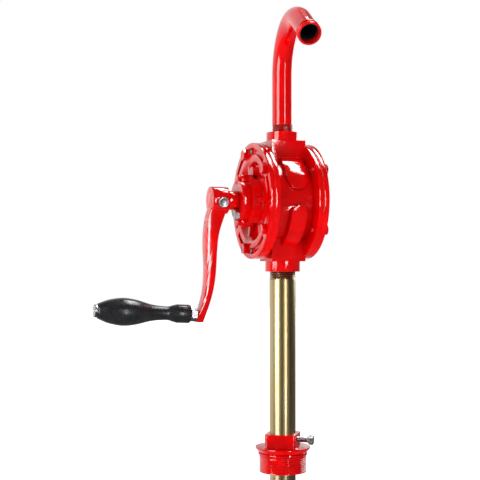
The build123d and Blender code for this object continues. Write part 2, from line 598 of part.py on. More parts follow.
# ---------------------------------------------------------------- suction tube
def suction_nodes():
    inner = TUBE_RADIUS - TUBE_WALL
    top = SHAFT_Z - PORT_BLOCK_REACH - LOWER_BOSS_HEIGHT + THREAD_ENGAGEMENT - PIPE_END_GAP
    tube_names = ("suction_tube_upper", "suction_tube_middle", "suction_tube_lower")
    coupling_names = ("upper_coupling", "lower_coupling")
    nodes = {}
    for index, name in enumerate(tube_names):
        high = top - index * (TUBE_SECTION + TUBE_JOINT_GAP)
        low = high - TUBE_SECTION
        nodes[name] = post(TUBE_RADIUS, low, high) - post(inner, low, high)
        if index < len(coupling_names):
            middle = low - TUBE_JOINT_GAP / 2
            half = COUPLING_LENGTH / 2
            sleeve = post(COUPLING_RADIUS, middle - half, middle + half)
            sleeve -= post(TUBE_RADIUS, middle - half, middle + half)
            nodes[coupling_names[index]] = sleeve

    # foot: a cup screwed on the end of the tube, with slots round its side and a hole below
    foot_bottom = low - STRAINER_LENGTH + STRAINER_OVERLAP
    foot = post(STRAINER_RADIUS, foot_bottom, low + STRAINER_OVERLAP)
    foot -= post(TUBE_RADIUS, low, low + STRAINER_OVERLAP)
    foot -= post(inner, foot_bottom, low)
    slot_height = (STRAINER_LENGTH - STRAINER_OVERLAP) / 2
    slot = Pos(0, 0, foot_bottom + slot_height) * Box(
        STRAINER_RADIUS + MERGE, STRAINER_SLOT_WIDTH, slot_height, align=OUTWARD)
    for index in range(STRAINER_SLOT_COUNT):
        foot -= Rot(0, 0, 360 / STRAINER_SLOT_COUNT * index) * slot
    nodes["foot_strainer"] = foot
    return nodes


# ---------------------------------------------------------------- bung adapter
def adapter_nodes():
    turn = Rot(0, 0, ADAPTER_TURN)
    bevel_height = BUNG_BEVEL_TOP - BUNG_SEAT_RING_HEIGHT
    flange = post(BUNG_SEAT_RADIUS, 0, BUNG_SEAT_RING_HEIGHT)
    flange += Pos(0, 0, BUNG_SEAT_RING_HEIGHT) * Cone(
        BUNG_BEVEL_RADIUS, BUNG_FLANGE_RADIUS, bevel_height, align=BASE)
    flange += post(BUNG_FLANGE_RADIUS, BUNG_BEVEL_TOP, BUNG_FLANGE_TOP)
    neck = RectangleRounded(NECK_SIDE, NECK_SIDE, NECK_CORNER)
    body = flange + extrude(neck, NECK_TOP)
    body += post(BUNG_THREAD_RADIUS, -BUNG_THREAD_LENGTH, 0)
    body -= post(TUBE_RADIUS + TUBE_SLIDE_GAP, -BUNG_THREAD_LENGTH, NECK_TOP)
    body -= post(BUNG_THREAD_BORE_RADIUS, -BUNG_THREAD_LENGTH, BUNG_THREAD_BORE_TOP)

    # clamp screw through the neck's right-hand face, its tip close to the tube
    tip = TUBE_RADIUS + TUBE_SLIDE_GAP
    seat_centre = (tip + CLAMP_SCREW_LENGTH, 0, CLAMP_SCREW_Z)
    seat = Plane(origin=seat_centre, x_dir=(0, 1, 0), z_dir=(1, 0, 0))
    screw = bolt(seat, CLAMP_SCREW, CLAMP_SCREW_LENGTH)
    body -= seat * Cylinder(CLAMP_SCREW[0] + HOLE_GAP, CLAMP_SCREW_LENGTH + OVERRUN, align=BELOW)
    return {
        "bung_adapter": turn * body,
        "clamp_screw": turn * screw,
    }


save({
    **adapter_nodes(),
    **suction_nodes(),
    **housing_nodes(),
    **bearing_nodes(),
    **rotor_nodes(),
    **crank_nodes(),
    **spout_nodes(),
})
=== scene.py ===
import json
import math

import bmesh
import bpy
from mathutils import Matrix, Vector


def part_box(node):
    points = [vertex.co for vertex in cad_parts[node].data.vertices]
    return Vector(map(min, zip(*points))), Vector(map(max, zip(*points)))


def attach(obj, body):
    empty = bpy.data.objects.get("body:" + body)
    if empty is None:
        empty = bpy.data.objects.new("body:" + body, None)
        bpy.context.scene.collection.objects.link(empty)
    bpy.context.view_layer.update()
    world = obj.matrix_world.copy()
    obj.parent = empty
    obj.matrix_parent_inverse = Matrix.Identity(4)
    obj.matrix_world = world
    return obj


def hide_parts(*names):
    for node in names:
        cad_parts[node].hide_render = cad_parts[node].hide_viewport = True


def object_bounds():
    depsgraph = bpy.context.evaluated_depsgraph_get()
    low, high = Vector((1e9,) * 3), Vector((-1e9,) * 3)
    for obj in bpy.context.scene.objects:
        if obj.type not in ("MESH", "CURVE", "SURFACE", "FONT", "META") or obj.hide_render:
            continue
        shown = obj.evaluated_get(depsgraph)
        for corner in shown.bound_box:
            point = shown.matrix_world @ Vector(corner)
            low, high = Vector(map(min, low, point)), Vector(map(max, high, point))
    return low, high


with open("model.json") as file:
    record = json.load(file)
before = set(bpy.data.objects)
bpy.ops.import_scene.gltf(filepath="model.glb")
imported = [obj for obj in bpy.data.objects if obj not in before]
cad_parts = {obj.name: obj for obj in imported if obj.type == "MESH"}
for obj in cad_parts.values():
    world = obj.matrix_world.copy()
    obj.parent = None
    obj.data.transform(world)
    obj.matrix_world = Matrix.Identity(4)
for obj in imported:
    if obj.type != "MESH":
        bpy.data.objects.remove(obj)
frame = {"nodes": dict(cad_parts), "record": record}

cad_low, cad_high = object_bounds()

# ---------------------------------------------------------------- sizes, in metres and radians
SHAFT_Z = 0.328
PIPE_SIDES = 96
SHARP_ANGLE = math.radians(38)
MERGE = 1e-6

# spout
SPOUT_RADIUS = 0.01345
SPOUT_BORE = 0.01165
SPOUT_BEND_START = 0.4915
SPOUT_BEND_RADIUS = 0.062
SPOUT_BEND_ANGLE = math.radians(122)
SPOUT_TIP_LENGTH = 0.047
SPOUT_YAW = math.radians(-97)
SPOUT_THREAD_PITCH = 0.00181
SPOUT_THREAD = 0.028             # length of the pipe that the fine steps of the thread cover
SPOUT_THREAD_SPAN = (0.004, 0.027)
BEND_STEPS = 48
COLLAR_LENGTH = 0.010
BEAD_HEIGHT = 0.0013
BEADS = ((-0.0084, 0.0016), (-0.0018, 0.0018))   # middle and half length, along the spout
BEAD_STEPS = 8
MOUTH_ROUND = 0.0006

# suction tube
TUBE_RADIUS = 0.01685
TUBE_BORE = 0.01365
TUBE_THREAD_PITCH = 0.00231
TUBE_THREAD = 0.028
TUBE_END = 0.001                 # plain end before the thread starts
COUPLING_BAND = 0.005
COUPLING_CHAMFER = 0.001
COUPLING_GROOVE = 0.0007
COUPLING_GAP = 0.0001

# threads
STEPS_PER_TURN = 6
THREAD_DEPTH = 0.00095
# thread roots take a dark material: bare cut metal, darkened further as painted shade in the groove
PAINTED_SHADE_ROOT_SHARE = 0.45                # deeper than this share of the depth, a thread is dark
BUNG_CREST = 0.0304
BUNG_ROOT = 0.0285
BUNG_THREAD_TOP = -0.0015
BOLT_RADIUS = 0.004
BOLT_PITCH = 0.00125
BOLT_DEPTH = 0.6 * BOLT_PITCH
BOLT_CHAMFER = 0.5 * BOLT_PITCH
BOLT_STEPS_PER_TURN = 5
BOLT_SIDES = 24
BOLT_TURN = 0.9                  # each cover bolt is turned this much further than the last
HEX_SIDES = 60
PIN_HOLE = 0.0004                # inner radius of a solid head, which is too small to see

# handle
HANDLE_TILT = math.radians(2.7)
HANDLE_SEAT = Vector((-0.117, 0, 0.183))
GRIP_START = 0.0084
GRIP_END = 0.127
GRIP_BORE = 0.00525
# the grip's outline, as (radius, distance from its start), and its tip, measured from its end
GRIP_COLLAR = ((0.0096, 0.0), (0.0112, 0.0009), (0.0117, 0.0026))
GRIP_BODY = ((0.0117, 0.0175), (0.0104, 0.0225), (0.0086, 0.031), (0.0104, 0.050),
             (0.0156, 0.070), (0.0174, 0.087), (0.0148, 0.104), (0.0106, 0.1151))
GRIP_TIP = ((0.0098, 0.0012), (0.0088, 0.0001))
GRIP_CURVE_STEPS = 8

# hex heads as (across flats, height), and where they stand
M8_HEAD = (0.013, 0.0053)
CLAMP_HEAD = (0.011, 0.0065)
NUT = (0.016, 0.008)
NUT_BORE = 0.005
COVER_BOLT_RADIUS = 0.0645
COVER_BOLT_ANGLES = (36, 108, 180, 252, 324)
FRONT_RIM = -0.0434
REAR_RIM = 0.0347
GLAND_FRONT = -0.063
GLAND_SCREW = (0.0196, math.radians(-71))   # from the shaft, and angle below -Y
GLAND_SCREW_LENGTH = 0.008
SET_BOLT_X = -0.0875
SET_BOLT_SEAT = 0.0183
SHAFT_RADIUS = 0.010
SET_BOLT_DROP = math.radians(10)
SET_BOLT_TURN = 0.2
CLAMP_TURN = math.radians(-32.5)
CLAMP_Z = 0.0195
CLAMP_SEAT = 0.03415
CLAMP_TIP = 0.0172

# rounding of CAD edges
WELD_GAP = 2e-6
FLAT_ANGLE = math.radians(0.6)
BEVEL_ANGLE = math.radians(34)
HIDDEN_BEVEL = 0.0003

# floor
FLOOR_SIZE = 40
FLOOR_GAP = 0.002                # below the lowest point of the object

# camera: where it stands round the object, and how it is turned from facing the tube
CAMERA_AZIMUTH = math.radians(-20.975)
CAMERA_DISTANCE = 1.3624
CAMERA_HEIGHT = 0.2501
CAMERA_PITCH = math.radians(1.164)
CAMERA_TURN = math.radians(2.334)
CAMERA_LENS = 78.28


# ---------------------------------------------------------------- materials
class Nodes:
    """Short way to build a node material: each method adds a node and returns an output."""

    def __init__(self, name):
        self.material = bpy.data.materials.new(name)
        self.material.use_nodes = True
        self.tree = self.material.node_tree
        self.shader = self.tree.nodes["Principled BSDF"]
        coordinates = self.tree.nodes.new("ShaderNodeTexCoord")
        self.place = coordinates.outputs["Object"]

    def join(self, source, target):
        self.tree.links.new(source, target)

    def scaled(self, scale):
        mapping = self.tree.nodes.new("ShaderNodeMapping")
        mapping.inputs["Scale"].default_value = scale
        self.join(self.place, mapping.inputs["Vector"])
        return mapping.outputs["Vector"]

    def noise(self, scale, detail=3.0, roughness=0.5, vector=None):
        node = self.tree.nodes.new("ShaderNodeTexNoise")
        node.inputs["Scale"].default_value = scale
        node.inputs["Detail"].default_value = detail
        node.inputs["Roughness"].default_value = roughness
        self.join(vector or self.place, node.inputs["Vector"])
        return node.outputs["Fac"]

    def ramp(self, factor, stops):
        node = self.tree.nodes.new("ShaderNodeValToRGB")
        ramp = node.color_ramp
        while len(ramp.elements) < len(stops):
            ramp.elements.new(0.5)
        for element, (position, colour) in zip(ramp.elements, stops):
            element.position = position
            element.color = (*colour, 1.0)
        self.join(factor, node.inputs["Fac"])
        return node.outputs["Color"]

    def span(self, factor, low, high, from_low=0.3, from_high=0.7):
        node = self.tree.nodes.new("ShaderNodeMapRange")
        node.inputs["From Min"].default_value = from_low
        node.inputs["From Max"].default_value = from_high
        node.inputs["To Min"].default_value = low
        node.inputs["To Max"].default_value = high
        self.join(factor, node.inputs["Value"])
        return node.outputs["Result"]

    def bump(self, height, distance, strength=1.0, before=None):
        node = self.tree.nodes.new("ShaderNodeBump")
        node.inputs["Distance"].default_value = distance
        node.inputs["Strength"].default_value = strength
        self.join(height, node.inputs["Height"])
        if before is not None:
            self.join(before, node.inputs["Normal"])
        return node.outputs["Normal"]

    def finish(self, colour=None, roughness=None, normal=None, **plain):
        for source, socket in ((colour, "Base Color"), (roughness, "Roughness"), (normal, "Normal")):
            if source is not None:
                self.join(source, self.shader.inputs[socket])
        for socket, value in plain.items():
            self.shader.inputs[socket.replace("_", " ")].default_value = value
        return self.material


def red_enamel(name, casting):
    """Thick gloss enamel. On a casting the sand-cast skin shows through it."""
    made = Nodes(name)
    cloud = made.noise(38.0, 4.0)
    stops = [(0.3, (0.36, 0.0, 0.0004)), (0.5, (0.45, 0.0, 0.0005)), (0.7, (0.53, 0.0, 0.0006))]
    colour = made.ramp(cloud, stops)
    roughness = made.span(made.noise(120.0, 5.0), 0.05, 0.13)
    peel = made.bump(made.noise(420.0, 2.0), 0.00006, 0.5)
    if casting:
        skin = made.bump(made.noise(210.0, 3.0, 0.55), 0.00016, 0.3, before=peel)
        normal = made.bump(made.noise(52.0, 2.0), 0.0008, 0.25, before=skin)
    else:
        normal = made.bump(made.noise(60.0, 2.0), 0.0004, 0.2, before=peel)
    return made.finish(colour, roughness, normal, Coat_Weight=0.35, Coat_Roughness=0.03)


def zinc_plate(name):
    """Clear zinc on steel: blotchy grey with fine spangle and tool marks."""
    made = Nodes(name)
    blotch = made.noise(260.0, 6.0, 0.65)
    stops = [(0.3, (0.30, 0.31, 0.33)), (0.55, (0.55, 0.56, 0.58)), (0.75, (0.74, 0.75, 0.76))]
    colour = made.ramp(blotch, stops)
    roughness = made.span(made.noise(700.0, 4.0), 0.22, 0.42)
    normal = made.bump(made.noise(900.0, 4.0), 0.00015, 0.5)
    return made.finish(colour, roughness, normal, Metallic=1.0)


def yellow_zinc(name):
    """Yellow-passivated steel pipe, with long drawing lines and a slight change of tint."""
    made = Nodes(name)
    tint = made.noise(9.0, 3.0, vector=made.scaled((3.0, 3.0, 0.6)))
    stops = [(0.3, (0.50, 0.37, 0.17)), (0.5, (0.60, 0.47, 0.25)), (0.7, (0.66, 0.54, 0.33))]
    colour = made.ramp(tint, stops)
    lines = made.noise(420.0, 4.0, vector=made.scaled((1.0, 1.0, 0.012)))
    roughness = made.span(lines, 0.24, 0.38)
    normal = made.bump(lines, 0.00008, 0.35)
    return made.finish(colour, roughness, normal, Metallic=1.0)


def gloss_black(name):
    """Moulded black grip with a soft shine."""
    made = Nodes(name)
    cloud = made.noise(60.0, 3.0)
    colour = made.ramp(cloud, [(0.3, (0.006, 0.006, 0.007)), (0.7, (0.014, 0.014, 0.016))])
    roughness = made.span(made.noise(240.0, 5.0), 0.24, 0.34)
    normal = made.bump(made.noise(150.0, 3.0), 0.00006, 0.2)
    return made.finish(colour, roughness, normal, Coat_Weight=0.15, Coat_Roughness=0.12)


def dull_plastic(name, dark, light):
    """Matt non-metal, mottled between two colours."""
    made = Nodes(name)
    colour = made.ramp(made.noise(90.0, 4.0), [(0.3, dark), (0.7, light)])
    roughness = made.span(made.noise(300.0, 4.0), 0.42, 0.6)
    normal = made.bump(made.noise(650.0, 3.0), 0.0002, 0.5)
    return made.finish(colour, roughness, normal)


def turned_metal(name, dark, light, rough_low, rough_high):
    """Bare metal with lathe marks, mottled between two colours."""
    made = Nodes(name)
    colour = made.ramp(made.noise(140.0, 5.0), [(0.3, dark), (0.7, light)])
    marks = made.noise(900.0, 3.0, vector=made.scaled((1.0, 0.15, 0.15)))
    roughness = made.span(marks, rough_low, rough_high)
    normal = made.bump(marks, 0.0001, 0.5)
    return made.finish(colour, roughness, normal, Metallic=1.0)


MATERIALS = {
    "red_casting": red_enamel("red_casting", True),
    "red_pipe": red_enamel("red_pipe", False),
    "zinc_plate": zinc_plate("zinc_plate"),
    "yellow_zinc_tube": yellow_zinc("yellow_zinc_tube"),
    "grip_plastic": gloss_black("grip_plastic"),
    "black_plastic": dull_plastic("black_plastic", (0.014, 0.014, 0.015), (0.03, 0.03, 0.032)),
    "vane_plastic": dull_plastic("vane_plastic", (0.42, 0.38, 0.3), (0.58, 0.53, 0.44)),
    # near-black lining of every pipe's bore: painted shade, standing for the dark inside of a pipe
    "painted_shade_bore": dull_plastic("painted_shade_bore", (0.006, 0.006, 0.010), (0.02, 0.018, 0.022)),
    # dark thread root: bare cut metal, made darker than bare steel as painted shade in the groove
    "bare_and_painted_shade_root": turned_metal("bare_and_painted_shade_root", (0.07, 0.06, 0.05), (0.2, 0.17, 0.14), 0.35, 0.5),
    "gasket": dull_plastic("gasket", (0.03, 0.03, 0.03), (0.07, 0.07, 0.07)),
    "packing": dull_plastic("packing", (0.05, 0.05, 0.05), (0.14, 0.14, 0.14)),
    "rotor_iron": turned_metal("rotor_iron", (0.16, 0.16, 0.17), (0.3, 0.3, 0.31), 0.3, 0.5),
    "shaft_steel": turned_metal("shaft_steel", (0.36, 0.36, 0.37), (0.56, 0.56, 0.58), 0.2, 0.36),
    "spring_steel": turned_metal("spring_steel", (0.16, 0.17, 0.21), (0.3, 0.31, 0.36), 0.25, 0.4),
    "bronze": turned_metal("bronze", (0.42, 0.26, 0.1), (0.62, 0.43, 0.2), 0.22, 0.4),
}


# ---------------------------------------------------------------- mesh helpers
def new_piece(name, mesh_data, body, node, slot, *materials):
    """Links a finished bmesh as a piece that rides on a body and, if named, stands for a CAD node."""
    bmesh.ops.remove_doubles(mesh_data, verts=mesh_data.verts, dist=MERGE)
    bmesh.ops.recalc_face_normals(mesh_data, faces=mesh_data.faces)
    mesh = bpy.data.meshes.new(name)
    mesh_data.to_mesh(mesh)
    mesh_data.free()
    mesh.polygons.foreach_set("use_smooth", [True] * len(mesh.polygons))
    mesh.set_sharp_from_angle(angle=SHARP_ANGLE)
    for material in materials:
        mesh.materials.append(MATERIALS[material])
    piece = bpy.data.objects.new(name, mesh)
    bpy.context.scene.collection.objects.link(piece)
    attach(piece, body)
    if node:
        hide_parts(node)


def loft(target, rings, closed=True, paint=None):
    """Skins point rings, all of one length. A closed loft joins its last ring to its first.

    paint(ring number, side number) gives the number of the material that a face takes.
    """
    rows = [[target.verts.new(point) for point in ring] for ring in rings]
    sides = len(rows[0])
    count = len(rows) if closed else len(rows) - 1
    for index in range(count):
        row, following = rows[index], rows[(index + 1) % len(rows)]
        for side in range(sides):
            after = (side + 1) % sides
            face = target.faces.new((row[side], row[after], following[after], following[side]))
            face.material_index = paint(index, side) if paint else 0
    return rows


def turned(target, profile, place):
    """Turns a closed (radius, height) outline about the z axis of a placing matrix."""
    rings = []
    for radius, height in profile:
        ring = []
        for side in range(PIPE_SIDES):
            angle = 2 * math.pi * side / PIPE_SIDES
            ring.append(place @ Vector((radius * math.cos(angle), radius * math.sin(angle), height)))
        rings.append(ring)
    loft(target, rings)


def facing(origin, direction):
    """Matrix at a point whose z axis is the given direction."""
    return Matrix.Translation(origin) @ Vector(direction).to_track_quat("Z", "Y").to_matrix().to_4x4()


def fine_steps(length, pitch):
    """Distances from 0 to a length, close enough together to show a thread."""
    count = int(length / (pitch / STEPS_PER_TURN))
    return [length * index / count for index in range(count + 1)]


def upright_frames(start, steps):
    """Frames up the tube's axis, at distances from a starting height."""
    across, ahead = Vector((1, 0, 0)), Vector((0, 1, 0))
    return [(step, Vector((0, 0, start + step)), across, ahead) for step in steps]


def thread_wave(height, angle, pitch):
    """Depth of a V thread, from 0 at the crest to 1 at the root."""
    phase = (height / pitch + angle / (2 * math.pi)) % 1.0
    return abs(2 * phase - 1)


def pipe(target, path, radius, bore, threads, pitch):
    """Pipe along a path of (distance, point, normal, binormal). Threads are spans of distance."""
    outer, inner = [], []
    for distance, point, normal, binormal in path:
        ring, hollow = [], []
        for side in range(PIPE_SIDES):
            angle = 2 * math.pi * side / PIPE_SIDES
            ray = normal * math.cos(angle) + binormal * math.sin(angle)
            cut = 0.0
            for low, high in threads:
                if low <= distance <= high:
                    fade = min(1.0, (distance - low) / pitch, (high - distance) / pitch)
                    cut = THREAD_DEPTH * thread_wave(distance, angle, pitch) * fade
            ring.append(point + ray * (radius - cut))
            hollow.append(point + ray * bore)
        outer.append(ring)
        inner.append(hollow)

    def paint(index, side):
        """1 in the bore, which is painted shade; 2 in a thread's root, bare metal darkened as painted
        shade; 0 elsewhere.
        """
        if index >= len(path) - 1:
            return 1
        middle = (path[index][0] + path[index + 1][0]) / 2
        angle = 2 * math.pi * (side + 0.5) / PIPE_SIDES
        threaded = any(low < middle < high for low, high in threads)
        return 2 if threaded and thread_wave(middle, angle, pitch) > PAINTED_SHADE_ROOT_SHARE else 0

    loft(target, outer + inner[::-1], paint=paint)


# ---------------------------------------------------------------- spout
def spout_frames():
    """Frames along the spout: up out of the port, round the bend, and straight to the mouth."""
    low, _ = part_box("spout_pipe")
    outward = Vector((math.cos(SPOUT_YAW), math.sin(SPOUT_YAW), 0))
    side = Vector((-math.sin(SPOUT_YAW), math.cos(SPOUT_YAW), 0))
    up = Vector((0, 0, 1))
    start = low.z
    riser = SPOUT_BEND_START - start
    steps = fine_steps(SPOUT_THREAD, SPOUT_THREAD_PITCH)
    steps += [SPOUT_THREAD + (riser - SPOUT_THREAD) * share for share in (0.5, 1.0)]
    frames = [(step, up * (start + step), outward, side) for step in steps]
    centre = outward * SPOUT_BEND_RADIUS + up * SPOUT_BEND_START
    for index in range(1, BEND_STEPS + 1):
        turn = SPOUT_BEND_ANGLE * index / BEND_STEPS
        spoke = -outward * math.cos(turn) + up * math.sin(turn)
        frames.append((riser + SPOUT_BEND_RADIUS * turn, centre + spoke * SPOUT_BEND_RADIUS, -spoke, side))
    distance, point, normal, _ = frames[-1]
    along = outward * math.sin(SPOUT_BEND_ANGLE) + up * math.cos(SPOUT_BEND_ANGLE)
    for share in (0.5, 1.0):
        length = SPOUT_TIP_LENGTH * share
        frames.append((distance + length, point + along * length, normal, side))
    return frames, along


def make_spout():
    """Spout pipe with its thread, and the collar at its mouth."""
    frames, along = spout_frames()
    mesh = bmesh.new()
    pipe(mesh, frames, SPOUT_RADIUS, SPOUT_BORE, [SPOUT_THREAD_SPAN], SPOUT_THREAD_PITCH)
    # the spout's bore takes painted shade, and its thread roots are bare metal darkened as painted shade
    new_piece("spout_pipe_formed", mesh, "spout", "spout_pipe", "red_paint", "red_pipe", "painted_shade_bore",
              "bare_and_painted_shade_root")

    # the mouth's collar: two rolled beads with a groove between them, and a rounded lip inside
    place = facing(frames[-1][1], along)
    outline = [(SPOUT_RADIUS, -COLLAR_LENGTH)]
    for middle, half in BEADS:
        for index in range(BEAD_STEPS + 1):
            turn = math.pi * index / BEAD_STEPS
            radius = SPOUT_RADIUS + 0.0001 + BEAD_HEIGHT * math.sin(turn)
            outline.append((radius, middle - half * math.cos(turn)))
    lining = SPOUT_BORE - 0.00005
    outline += [(SPOUT_BORE + MOUTH_ROUND, 0.00005), (SPOUT_BORE + 0.0001, -0.0008),
                (lining, -0.002), (lining, -COLLAR_LENGTH)]
    mesh = bmesh.new()
    turned(mesh, outline, place)
    new_piece("spout_collar_rolled", mesh, "spout", "spout_collar", "red_paint", "red_pipe")


# ---------------------------------------------------------------- suction tube
def make_suction_tube():
    """Three tube sections, with a thread cut at both ends of each."""
    thread = fine_steps(TUBE_THREAD, TUBE_THREAD_PITCH)
    for node in ("suction_tube_upper", "suction_tube_middle", "suction_tube_lower"):
        low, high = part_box(node)
        length = high.z - low.z
        steps = thread + [length * 0.5] + [length - distance for distance in reversed(thread)]
        frames = upright_frames(low.z, steps)
        spans = [(TUBE_END, TUBE_THREAD - TUBE_END),
                 (length - TUBE_THREAD + TUBE_END, length - TUBE_END)]
        mesh = bmesh.new()
        pipe(mesh, frames, TUBE_RADIUS, TUBE_BORE, spans, TUBE_THREAD_PITCH)
        # each tube's bore takes painted shade, and its thread roots are bare metal darkened as painted
        # shade
        new_piece(f"{node}_threaded", mesh, "pump", node, "yellow_zinc_tube", "yellow_zinc_tube",
                  "painted_shade_bore", "bare_and_painted_shade_root")


def make_bung_thread():
    """Thread turns that stand out of the adapter below its flange."""
    low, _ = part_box("bung_adapter")
    steps = fine_steps(BUNG_THREAD_TOP - low.z, TUBE_THREAD_PITCH)
    frames = upright_frames(low.z, steps)
    mesh = bmesh.new()
    pipe(mesh, frames, BUNG_CREST, BUNG_ROOT, [(0.0, steps[-1])], TUBE_THREAD_PITCH)
    new_piece("bung_thread_turns", mesh, "adapter", None, "red_paint", "red_casting", "red_casting",
              "red_casting")


def make_couplings():
    """Pipe couplings: a sleeve with chamfered ends and a shallow band round each end."""
    for node in ("upper_coupling", "lower_coupling"):
        low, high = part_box(node)
        radius = (high.x - low.x) / 2
        length = high.z - low.z
        bore = TUBE_RADIUS + COUPLING_GAP
        waist = radius - COUPLING_GROOVE
        outline = [
            (bore + COUPLING_CHAMFER, 0),
            (radius - COUPLING_CHAMFER, 0),
            (radius, COUPLING_CHAMFER),
            (radius, COUPLING_BAND),
            (waist, COUPLING_BAND + COUPLING_GROOVE),
            (waist, length - COUPLING_BAND - COUPLING_GROOVE),
            (radius, length - COUPLING_BAND),
            (radius, length - COUPLING_CHAMFER),
            (radius - COUPLING_CHAMFER, length),
            (bore + COUPLING_CHAMFER, length),
            (bore, length - COUPLING_CHAMFER),
            (bore, COUPLING_CHAMFER),
        ]
        mesh = bmesh.new()
        turned(mesh, outline, Matrix.Translation((0, 0, low.z)))
        new_piece(f"{node}_turned", mesh, "pump", node, "yellow_zinc_tube", "yellow_zinc_tube")


# ---------------------------------------------------------------- grip
def handle_matrix():
    """Matrix on the arm's seat, with its z axis along the handle."""
    return facing(HANDLE_SEAT, (-math.cos(HANDLE_TILT), 0, math.sin(HANDLE_TILT)))


def smooth_outline(points, steps):
    """Catmull-Rom curve through (radius, height) points, with the end points repeated."""
    padded = [points[0]] + points + [points[-1]]
    curve = []
    for index in range(1, len(padded) - 2):
        a, b, c, d = (Vector(padded[index + offset]) for offset in (-1, 0, 1, 2))
        for step in range(steps):
            t = step / steps
            point = 0.5 * (2 * b + (c - a) * t + (2 * a - 5 * b + 4 * c - d) * t ** 2
                           + (3 * b - a - 3 * c + d) * t ** 3)
            curve.append(tuple(point))
    curve.append(points[-1])
    return curve


def make_grip():
    """Grip with a rounded collar beside the nut and a rounded free end."""
    swell = [(radius, GRIP_START + distance) for radius, distance in GRIP_BODY]
    outline = [(GRIP_BORE, GRIP_START)]
    outline += [(radius, GRIP_START + distance) for radius, distance in GRIP_COLLAR]
    outline += smooth_outline(swell, GRIP_CURVE_STEPS)
    outline += [(radius, GRIP_END - distance) for radius, distance in GRIP_TIP]
    outline.append((GRIP_BORE, GRIP_END))
    mesh = bmesh.new()
    turned(mesh, outline, handle_matrix())
    new_piece("grip_turned", mesh, "grip", "grip", "grip_plastic", "grip_plastic")


# ---------------------------------------------------------------- bolts and nuts
def hex_head(target, place, across, height, bore=0.0, turn=0.0):
    """Hex head, or nut if it has a bore, with a washer face below and a turned chamfer above."""
    washer = height * 0.07
    flat = across / 2
    rings = []

    def ring(scale, level, chamfer=0.0):
        """Ring no wider than the hexagon; the chamfer takes its corners down."""
        points = []
        for side in range(HEX_SIDES):
            angle = 2 * math.pi * side / HEX_SIDES
            corner = flat / math.cos((angle + math.pi / 6) % (math.pi / 3) - math.pi / 6)
            radius = min(corner, flat * scale)
            drop = (corner - flat) * chamfer
            spin = angle + turn
            points.append(place @ Vector((radius * math.cos(spin), radius * math.sin(spin), level - drop)))
        rings.append(points)

    inner = (bore or PIN_HOLE) / flat
    ring(inner, 0)
    ring(0.94, 0)
    ring(0.95, washer)
    ring(1.2, washer)
    ring(1.2, height * 0.97, 0.62)
    ring(0.93, height)
    if bore:
        ring(inner * 1.12, height)
        ring(inner, height * 0.93)
    else:
        ring(0.80, height)
        ring(0.76, height * 0.975)
        ring(inner, height * 0.975)
    loft(target, rings)


def threaded_rod(target, place, length):
    """Threaded shank along z from 0 to its chamfered tip."""
    steps = int(length / BOLT_PITCH * BOLT_STEPS_PER_TURN)
    rings = []
    for index in range(steps + 1):
        height = length * index / steps
        chamfer = BOLT_CHAMFER * (1 - min(1.0, (length - height) / BOLT_PITCH))
        ring = []
        for side in range(BOLT_SIDES):
            angle = 2 * math.pi * side / BOLT_SIDES
            depth = BOLT_DEPTH * thread_wave(height, angle, BOLT_PITCH) + chamfer
            radius = BOLT_RADIUS - depth
            ring.append(place @ Vector((radius * math.cos(angle), radius * math.sin(angle), height)))
        rings.append(ring)
    rows = loft(target, rings, closed=False)
    target.faces.new(rows[0][::-1])
    target.faces.new(rows[-1])


def cover_bolt_places():
    """Heads on the front cover, nearest -X, and on the rear cover, nearest +X."""
    fronts, rears = [], []
    for angle in COVER_BOLT_ANGLES:
        y = -COVER_BOLT_RADIUS * math.cos(math.radians(angle))
        z = SHAFT_Z + COVER_BOLT_RADIUS * math.sin(math.radians(angle))
        fronts.append(Vector((FRONT_RIM, y, z)))
        rears.append(Vector((REAR_RIM, y, z)))
    return fronts, rears


def make_cover_bolts():
    """Five painted bolts in each cover, joined to one piece per cover."""
    fronts, rears = cover_bolt_places()
    for node, places, outward in (("front_cover_bolts", fronts, -1), ("rear_cover_bolts", rears, 1)):
        low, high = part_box(node)
        mesh = bmesh.new()
        for index, place in enumerate(places):
            hex_head(mesh, facing(place, (outward, 0, 0)), *M8_HEAD, turn=BOLT_TURN * index)
            reach = high.x - place.x if outward < 0 else place.x - low.x
            threaded_rod(mesh, facing(place, (-outward, 0, 0)), reach)
        new_piece(f"{node}_chamfered", mesh, "pump", node, "red_paint", "red_casting")


def make_screw(node, body, seat, outward, head, length, turn=0.0):
    """Zinc hex screw whose head stands on a seat, with its shank behind the seat."""
    mesh = bmesh.new()
    hex_head(mesh, facing(seat, outward), *head, turn=turn)
    threaded_rod(mesh, facing(seat, -outward), length)
    new_piece(f"{node}_chamfered", mesh, body, node, "zinc_plate", "zinc_plate")


def make_gland_screw():
    """Screw in the gland cap's face."""
    radius, angle = GLAND_SCREW
    outward = Vector((-1, 0, 0))
    seat = Vector((GLAND_FRONT, -radius * math.cos(angle), SHAFT_Z + radius * math.sin(angle)))
    # a flat faces the shaft
    inward = facing(seat, outward).inverted() @ Vector((GLAND_FRONT, 0, SHAFT_Z))
    turn = math.atan2(inward.y, inward.x)
    make_screw("gland_screw", "pump", seat, outward, M8_HEAD, GLAND_SCREW_LENGTH, turn)


def make_set_bolt():
    """Bolt that holds the crank's hub on the shaft."""
    outward = Vector((0, -math.cos(SET_BOLT_DROP), -math.sin(SET_BOLT_DROP)))
    seat = Vector((SET_BOLT_X, 0, SHAFT_Z)) + outward * SET_BOLT_SEAT
    length = SET_BOLT_SEAT - SHAFT_RADIUS
    make_screw("crank_set_bolt", "crank", seat, outward, M8_HEAD, length, SET_BOLT_TURN)


